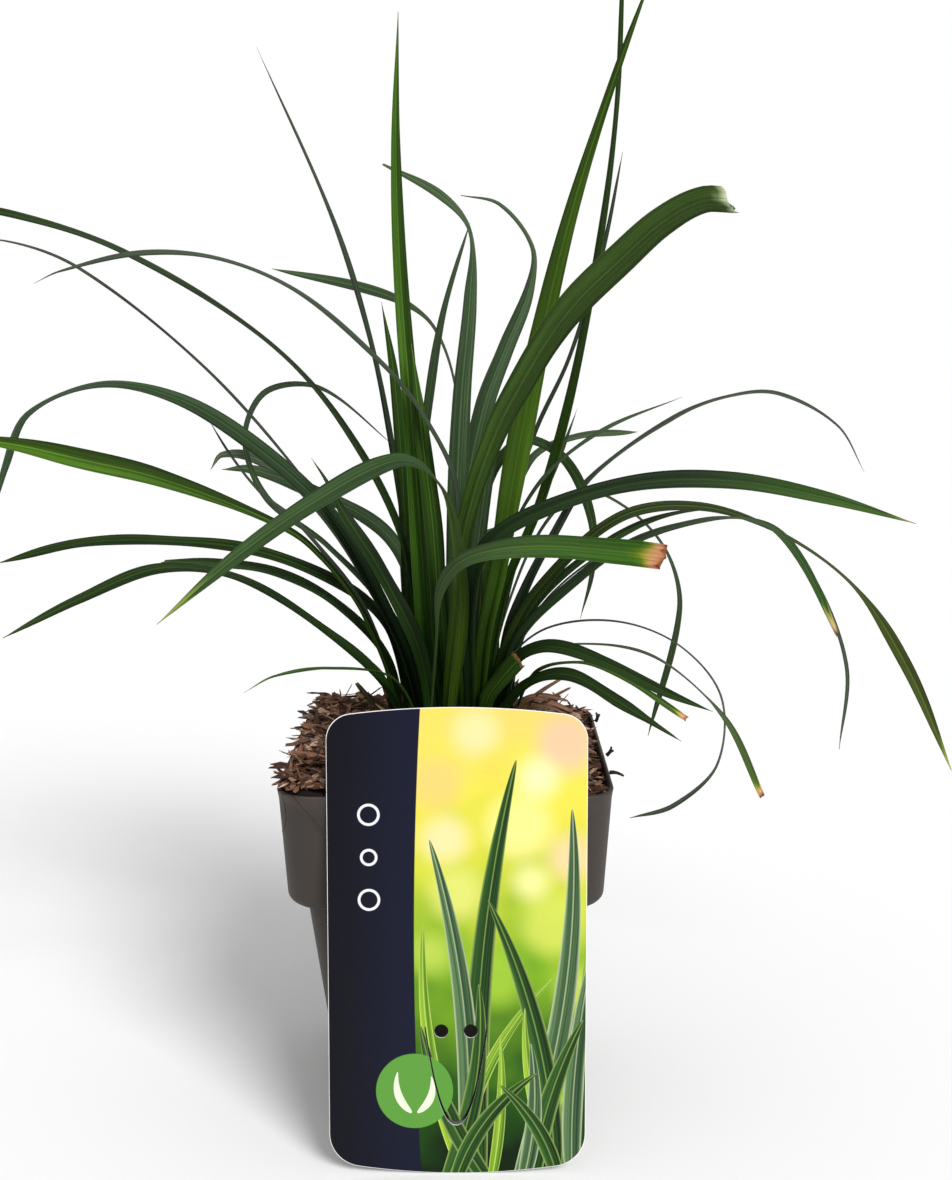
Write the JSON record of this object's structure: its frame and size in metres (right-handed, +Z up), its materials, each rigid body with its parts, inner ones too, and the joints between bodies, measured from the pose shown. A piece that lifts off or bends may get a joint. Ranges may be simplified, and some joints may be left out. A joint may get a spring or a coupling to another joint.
{
  "type": "potted carex sedge",
  "caption": "Young carex sedge with narrow arching blades in a square tapered nursery pot, bark mulch on the soil and a plain plant label leaning on the rim.",
  "frame": {"origin": "centre of the pot's underside, on the surface it stands on", "axes": "+Z up along the pot's height, +X along its front face to the right of the label, -Y towards the viewer, where the label leans on the rim"},
  "size_m": [0.3993, 0.2928, 0.3906],
  "materials": {
    "pot_plastic": "matt dark brown moulded plastic",
    "potting_soil": "damp dark potting mix",
    "bark": "loose dry bark chips",
    "sheath_bases": "packed leaf sheaths",
    "sedge_blade": "slightly waxy living leaf",
    "label_card": "thin printed plastic card"
  },
  "bodies": {
    "root": {"bark_mulch": "bark", "crown": "sheath_bases", "leaf_back_left_arch": "sedge_blade", "leaf_back_right_hook": "sedge_blade", "leaf_back_slim_upright": "sedge_blade", "leaf_back_tall_hook": "sedge_blade", "leaf_cut_stub": "sedge_blade", "leaf_front_cut_broad": "sedge_blade", "leaf_front_left_arch": "sedge_blade", "leaf_front_right_broad": "sedge_blade", "leaf_inner_left": "sedge_blade", "leaf_inner_right": "sedge_blade", "leaf_left_back_grey": "sedge_blade", "leaf_left_back_hook": "sedge_blade", "leaf_left_back_loop": "sedge_blade", "leaf_left_broad_arch": "sedge_blade", "leaf_left_front_broad": "sedge_blade", "leaf_left_high_arch": "sedge_blade", "leaf_left_high_slender": "sedge_blade", "leaf_left_low_arch": "sedge_blade", "leaf_left_low_blunt": "sedge_blade", "leaf_left_middle_arch": "sedge_blade", "leaf_left_short_point": "sedge_blade", "leaf_left_slim_sweep": "sedge_blade", "leaf_left_small_low": "sedge_blade", "leaf_left_thin_spike": "sedge_blade", "leaf_rear_high_arch": "sedge_blade", "leaf_rear_left_arch": "sedge_blade", "leaf_rear_low_droop": "sedge_blade", "leaf_rear_middle": "sedge_blade", "leaf_rear_right_arch": "sedge_blade", "leaf_rear_short": "sedge_blade", "leaf_right_back_level": "sedge_blade", "leaf_right_brown_tipped": "sedge_blade", "leaf_right_drooping_back": "sedge_blade", "leaf_right_hooked": "sedge_blade", "leaf_right_long_arch": "sedge_blade", "leaf_right_long_broad": "sedge_blade", "leaf_right_low_broad": "sedge_blade", "leaf_right_low_cut": "sedge_blade", "leaf_right_low_slender": "sedge_blade", "leaf_right_lowest": "sedge_blade", "leaf_right_pale_short": "sedge_blade", "leaf_right_round_loop": "sedge_blade", "leaf_right_short_tip": "sedge_blade", "leaf_right_slim_arc": "sedge_blade", "leaf_right_slim_upright": "sedge_blade", "leaf_right_tall_upright": "sedge_blade", "leaf_right_thin_rising": "sedge_blade", "leaf_right_thin_upright": "sedge_blade", "leaf_right_threadlike": "sedge_blade", "leaf_short_upright": "sedge_blade", "leaf_tall_slender_left": "sedge_blade", "leaf_tall_upright": "sedge_blade", "plant_label": "label_card", "pot": "pot_plastic", "soil_root_ball": "potting_soil"}
  },
  "joints": []
}
